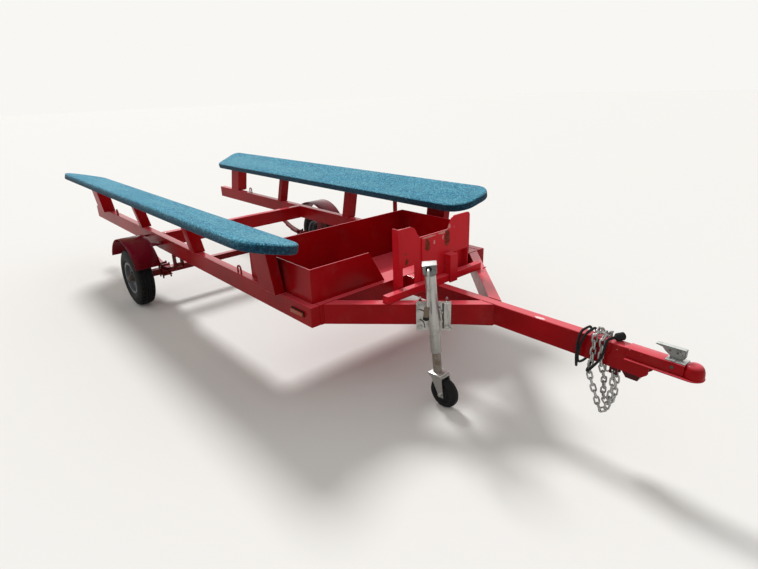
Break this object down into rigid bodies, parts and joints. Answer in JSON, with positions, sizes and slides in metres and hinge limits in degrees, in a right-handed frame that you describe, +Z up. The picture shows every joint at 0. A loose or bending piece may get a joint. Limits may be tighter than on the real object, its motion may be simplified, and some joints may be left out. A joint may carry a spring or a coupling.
{
  "type": "boat trailer",
  "caption": "Single-axle boat trailer of red steel tube with carpeted bunks, an open front tray, bow stop, ball coupler and a swivel jack with a caster.",
  "frame": {"origin": "on the ground under the middle of the outline", "axes": "+X forward to the coupler, +Y to the trailer's left side, +Z up"},
  "size_m": [4.9834, 1.784, 0.842],
  "materials": {
    "red_paint": "gloss",
    "carpet": "short pile carpet",
    "zinc": "zinc plated",
    "tyre_rubber": "matt",
    "galvanised": "galvanised",
    "dark_steel": "weathered",
    "amber_lens": "reflective",
    "black_rubber": "matt"
  },
  "bodies": {
    "frame": {"axle": "dark_steel", "axle_clamps": "dark_steel", "bow_stop_plate": "red_paint", "bow_stop_posts": "red_paint", "bunk_left": "carpet", "bunk_right": "carpet", "bunk_strut": "red_paint", "coupler_body": "red_paint", "coupler_latch": "zinc", "cross_tube": "red_paint", "diagonal_left": "red_paint", "diagonal_right": "red_paint", "fender_left": "red_paint", "fender_right": "red_paint", "front_crossmember": "red_paint", "jack_mount": "zinc", "leaf_springs": "dark_steel", "narrow_bunk_posts": "red_paint", "rail_left": "red_paint", "rail_right": "red_paint", "rear_crossmember": "red_paint", "safety_chains": "zinc", "side_markers": "amber_lens", "spring_hangers": "dark_steel", "tie_down_loops": "red_paint", "tongue_plates": "red_paint", "tongue_tube": "red_paint", "tray_floor": "red_paint", "tray_front_walls": "red_paint", "tray_rear_wall": "red_paint", "tray_side_walls": "red_paint", "wide_bunk_posts": "red_paint", "wiring_lead": "black_rubber", "wiring_plug": "black_rubber"},
    "wheel_right": {"tyre_right": "tyre_rubber", "rim_right": "galvanised", "hub_right": "dark_steel"},
    "wheel_left": {"tyre_left": "tyre_rubber", "rim_left": "galvanised", "hub_left": "dark_steel"},
    "jack_leg": {"jack_leg": "zinc", "jack_head": "zinc"},
    "jack_ram": {"jack_ram": "zinc"},
    "caster_fork": {"caster_fork": "zinc"},
    "caster_wheel": {"caster_wheel": "black_rubber"}
  },
  "joints": [
    {"name": "wheel_right_spin", "type": "hinge", "parent": "frame", "child": "wheel_right", "pos_m": [-0.9264, -0.815, 0.2085], "axis": [0, 1, 0], "continuous": true},
    {"name": "wheel_left_spin", "type": "hinge", "parent": "frame", "child": "wheel_left", "pos_m": [-0.9264, 0.815, 0.2085], "axis": [0, 1, 0], "continuous": true},
    {"name": "jack_swivel", "type": "hinge", "parent": "frame", "child": "jack_leg", "pos_m": [1.46239, -0.25411, 0.44], "axis": [0.6889, -0.7248, 0], "range_deg": [-94.3, 0]},
    {"name": "jack_lift", "type": "slide", "parent": "jack_leg", "child": "jack_ram", "axis": [0.0543, 0.0517, -0.9972], "range_m": [-0.104, 0.099]},
    {"name": "caster_swivel", "type": "hinge", "parent": "jack_ram", "child": "caster_fork", "pos_m": [1.46239, -0.25411, 0.44], "axis": [0.0543, 0.0517, -0.9972], "continuous": true},
    {"name": "caster_wheel_spin", "type": "hinge", "parent": "caster_fork", "child": "caster_wheel", "pos_m": [1.51623, -0.23526, 0.07704], "axis": [-0.0014, 0.9987, 0.0517], "continuous": true}
  ]
}
